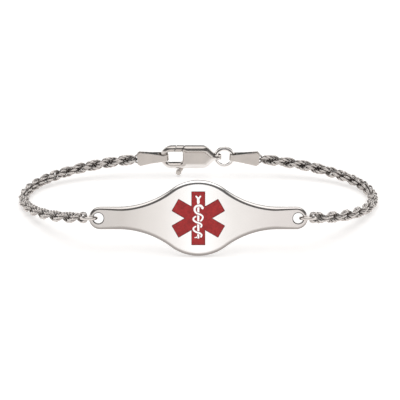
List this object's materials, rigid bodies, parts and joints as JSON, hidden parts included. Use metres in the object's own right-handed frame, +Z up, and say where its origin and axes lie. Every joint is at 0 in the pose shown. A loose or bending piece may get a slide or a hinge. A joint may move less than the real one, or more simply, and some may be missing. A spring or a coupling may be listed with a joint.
{
  "type": "medical alert bracelet",
  "caption": "Closed chain bracelet with a leaning name plate, red star inlay, rope chains, end tabs, split ring and sprung lobster clasp, lying on a table.",
  "frame": {"origin": "middle of the closed loop, on the table", "axes": "+X along the plate, +Y from the plate back to the clasp, +Z up from the table"},
  "size_m": [0.0729, 0.041, 0.014],
  "materials": {
    "silver": "polished",
    "red_enamel": "smooth gloss enamel"
  },
  "bodies": {
    "bracelet": {"id_plate": "silver", "star_enamel": "red_enamel", "plate_ring_left": "silver", "plate_ring_right": "silver", "rope_chain_left": "silver", "rope_chain_right": "silver", "end_tab_left": "silver", "end_tab_right": "silver", "split_ring": "silver", "clasp_body": "silver"},
    "lever": {"clasp_lever": "silver"}
  },
  "joints": [
    {"name": "lever_hinge", "type": "hinge", "parent": "bracelet", "child": "lever", "pos_m": [-0.00232, 0.01936, 0.00584], "axis": [0, -1, 0], "range_deg": [0, 24], "stiffness_Nm_per_rad": 0.01}
  ]
}
